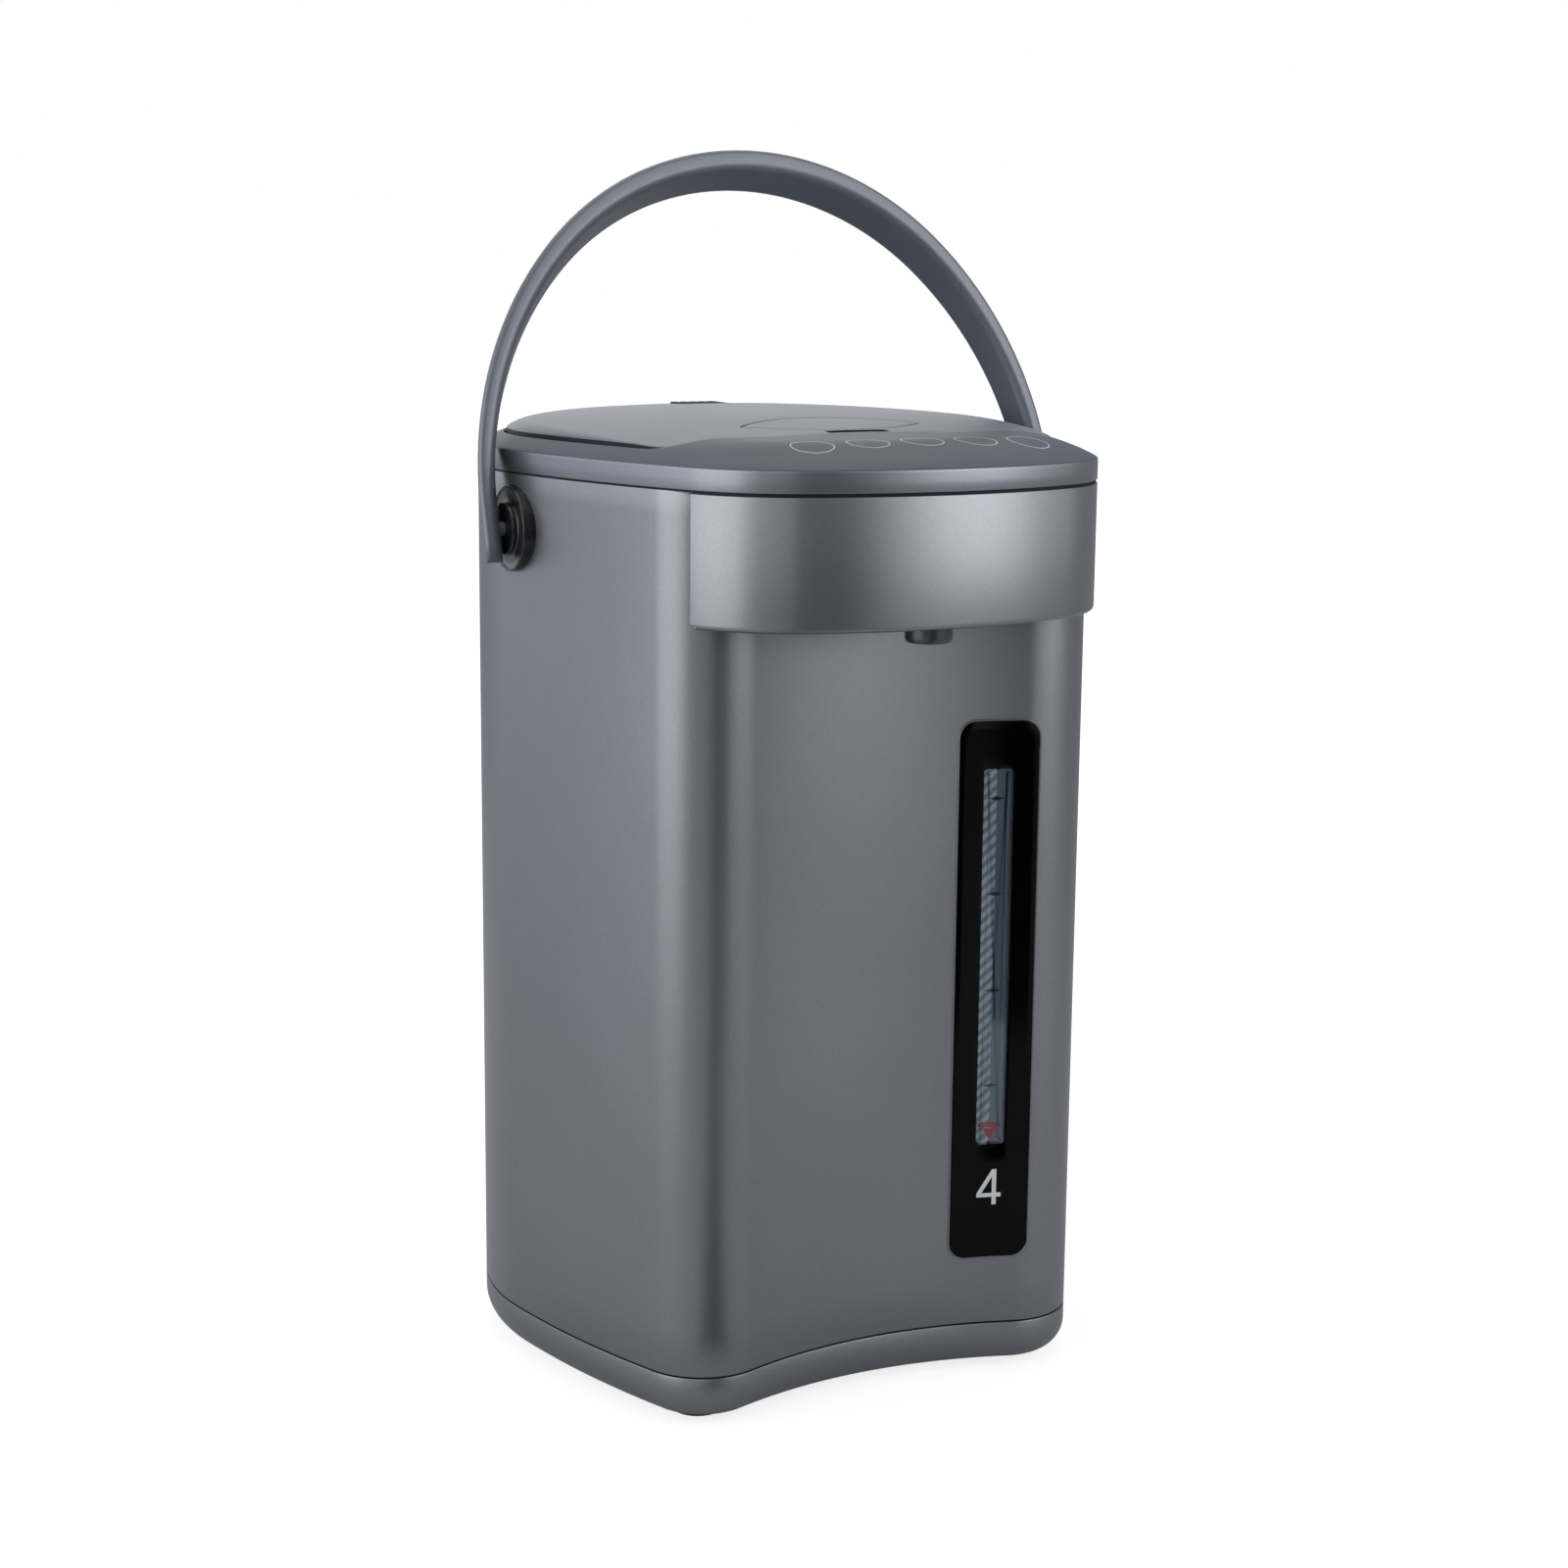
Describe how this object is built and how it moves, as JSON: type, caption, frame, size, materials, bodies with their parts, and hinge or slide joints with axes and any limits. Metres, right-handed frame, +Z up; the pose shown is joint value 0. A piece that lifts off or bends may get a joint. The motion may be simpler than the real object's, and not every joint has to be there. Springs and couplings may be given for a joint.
{
  "type": "electric thermo pot",
  "caption": "Tall hot water dispenser with an egg-shaped plan, overhanging spout head, hinged lid with latch lever, touch keys, gauge window and carrying handle.",
  "frame": {"origin": "on the floor, under the middle of the bounding box", "axes": "+Z up, front with the spout towards -Y, gauge window right of the middle towards +X"},
  "size_m": [0.2168, 0.2198, 0.4093],
  "materials": {
    "wrap_paint": "satin metallic paint on sheet steel",
    "shell_grey": "satin metallic paint on moulded shell",
    "deck_grey": "satin metallic blue-grey",
    "lid_silver": "satin metallic silver",
    "handle_grey": "satin metallic grey",
    "black_gloss": "polished black",
    "black_matt": "fine matt grain",
    "clear": "clear moulded",
    "scale_print": "printed strip",
    "glass": "clear",
    "steel": "stainless, satin",
    "zinc": "zinc plated",
    "alloy": "die cast",
    "rubber": "matt",
    "silicone": "translucent silicone",
    "white_plastic": "moulded",
    "board": "solder mask"
  },
  "bodies": {
    "pot": {"body_wrap": "wrap_paint", "base_ring": "shell_grey", "bottom_plate": "black_matt", "feet": "rubber", "tie_rods": "zinc", "head_cover": "shell_grey", "spout_nozzle": "black_gloss", "top_collar": "deck_grey", "touch_board": "board", "touch_springs": "zinc", "board_screws": "zinc", "hinge_cover": "deck_grey", "hinge_pin": "zinc", "pivot_socket_left": "black_gloss", "pivot_socket_right": "black_gloss", "pivot_pin_left": "steel", "pivot_pin_right": "steel", "window_panel": "black_gloss", "gauge_lens": "clear", "gauge_scale": "scale_print", "gauge_tube": "glass", "water_tank": "steel", "tank_seal": "silicone", "heater_plate": "alloy", "thermal_cutout": "black_matt", "temperature_sensor": "zinc", "pump_housing": "white_plastic", "pump_cover": "white_plastic", "pump_motor": "zinc", "inlet_hose": "silicone", "outlet_hose": "silicone", "top_hose": "silicone", "power_board": "board", "board_posts": "white_plastic", "power_socket": "black_matt"},
    "lid": {"lid_shell": "lid_silver", "lid_base": "white_plastic", "lid_screws": "zinc", "inner_plate": "steel", "lid_seal": "silicone", "steam_vent": "black_matt", "lever_pin": "zinc"},
    "lever": {"release_lever": "lid_silver"},
    "bolt": {"latch_bolt": "white_plastic", "latch_spring": "zinc"},
    "handle": {"handle": "handle_grey"},
    "impeller": {"pump_impeller": "white_plastic"}
  },
  "joints": [
    {"name": "lid_hinge", "type": "hinge", "parent": "pot", "child": "lid", "pos_m": [0, 0.088, 0.314], "axis": [-1, 0, 0], "range_deg": [0, 22]},
    {"name": "lever_hinge", "type": "hinge", "parent": "lid", "child": "lever", "pos_m": [0, -0.0305, 0.3172], "axis": [-1, 0, 0], "range_deg": [0, 10], "stiffness_Nm_per_rad": 0.05},
    {"name": "bolt_slide", "type": "slide", "parent": "lid", "child": "bolt", "axis": [0, 1, 0], "range_m": [0, 0.0043]},
    {"name": "handle_hinge", "type": "hinge", "parent": "pot", "child": "handle", "pos_m": [0, 0.0068, 0.2852], "axis": [1, 0, 0], "range_deg": [-74, 70]},
    {"name": "impeller_spin", "type": "hinge", "parent": "pot", "child": "impeller", "pos_m": [0.016, -0.024, 0.03], "axis": [0, 0, 1], "continuous": true}
  ],
  "couplings": [
    {"joint": "bolt_slide", "follows": "lever_hinge", "m_per_rad": 0.02292}
  ]
}
